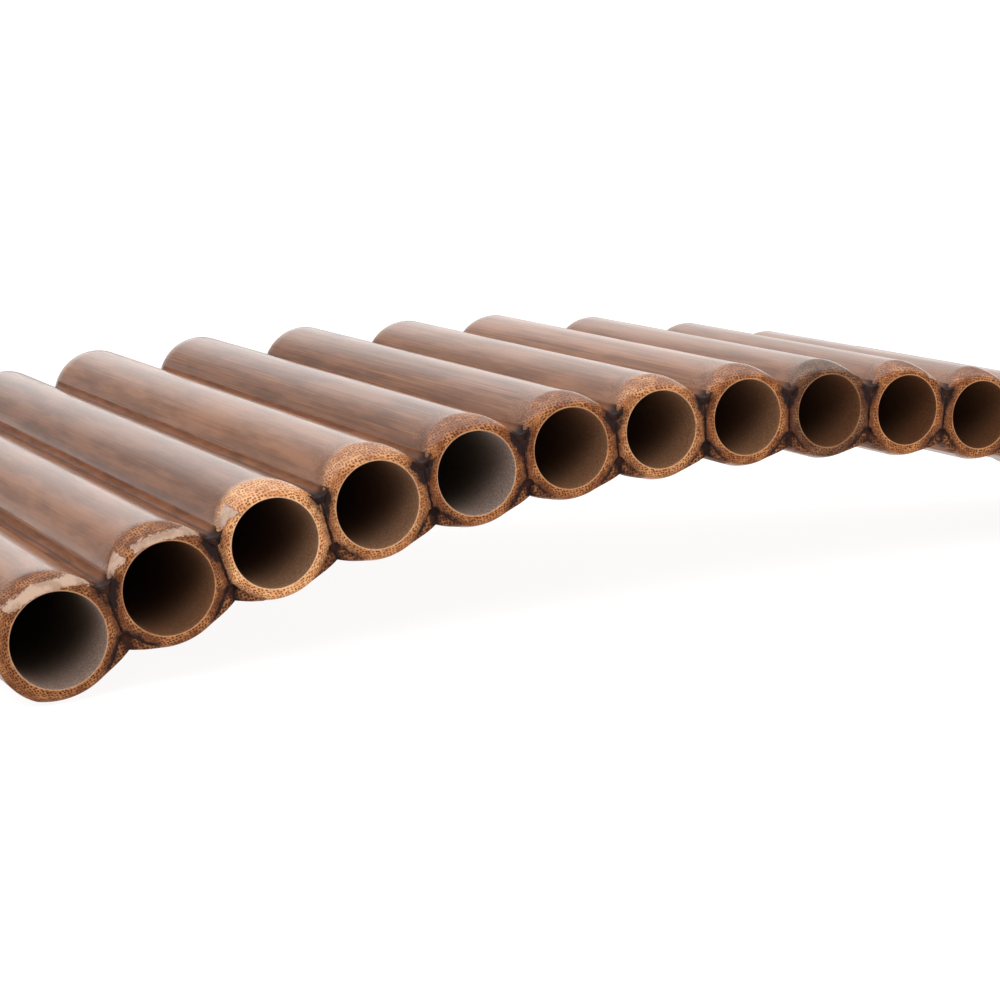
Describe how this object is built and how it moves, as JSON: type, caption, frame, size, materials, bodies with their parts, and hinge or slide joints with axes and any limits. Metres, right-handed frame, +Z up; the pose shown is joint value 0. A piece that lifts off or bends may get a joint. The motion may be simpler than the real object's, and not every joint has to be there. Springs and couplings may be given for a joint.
{
  "type": "pan flute",
  "caption": "Curved pan flute of stopped bamboo pipes, graded in length and glued side by side in an arch, with bevelled mouths in one plane.",
  "frame": {"origin": "centre of the flute's bounding box in X and Y, at its lowest point, with the flute lying hollow side down on its longest and its shortest pipe", "axes": "+X from the longest pipe to the shortest, +Y along the pipes from the mouths to the stopped ends, +Z up, out of the arch's outer side"},
  "size_m": [0.1592, 0.1366, 0.0262],
  "materials": {
    "bamboo_tube": "smoked bamboo under clear gloss lacquer",
    "cork_stopper": "matt cork",
    "wax": "smooth beeswax",
    "glue": "gloss, dark brown, set hard"
  },
  "bodies": {
    "root": {"glue_joint_01_02": "glue", "glue_joint_02_03": "glue", "glue_joint_03_04": "glue", "glue_joint_04_05": "glue", "glue_joint_05_06": "glue", "glue_joint_06_07": "glue", "glue_joint_07_08": "glue", "glue_joint_08_09": "glue", "glue_joint_09_10": "glue", "glue_joint_10_11": "glue", "glue_joint_11_12": "glue", "glue_joint_12_13": "glue", "glue_joint_13_14": "glue", "glue_joint_14_15": "glue", "stopper_01": "cork_stopper", "stopper_02": "cork_stopper", "stopper_03": "cork_stopper", "stopper_04": "cork_stopper", "stopper_05": "cork_stopper", "stopper_06": "cork_stopper", "stopper_07": "cork_stopper", "stopper_08": "cork_stopper", "stopper_09": "cork_stopper", "stopper_10": "cork_stopper", "stopper_11": "cork_stopper", "stopper_12": "cork_stopper", "stopper_13": "cork_stopper", "stopper_14": "cork_stopper", "stopper_15": "cork_stopper", "tube_01": "bamboo_tube", "tube_02": "bamboo_tube", "tube_03": "bamboo_tube", "tube_04": "bamboo_tube", "tube_05": "bamboo_tube", "tube_06": "bamboo_tube", "tube_07": "bamboo_tube", "tube_08": "bamboo_tube", "tube_09": "bamboo_tube", "tube_10": "bamboo_tube", "tube_11": "bamboo_tube", "tube_12": "bamboo_tube", "tube_13": "bamboo_tube", "tube_14": "bamboo_tube", "tube_15": "bamboo_tube", "tuning_wax_01": "wax", "tuning_wax_02": "wax", "tuning_wax_03": "wax", "tuning_wax_04": "wax", "tuning_wax_05": "wax", "tuning_wax_06": "wax", "tuning_wax_07": "wax", "tuning_wax_08": "wax", "tuning_wax_09": "wax", "tuning_wax_10": "wax", "tuning_wax_11": "wax", "tuning_wax_12": "wax", "tuning_wax_13": "wax", "tuning_wax_14": "wax", "tuning_wax_15": "wax"}
  },
  "joints": []
}
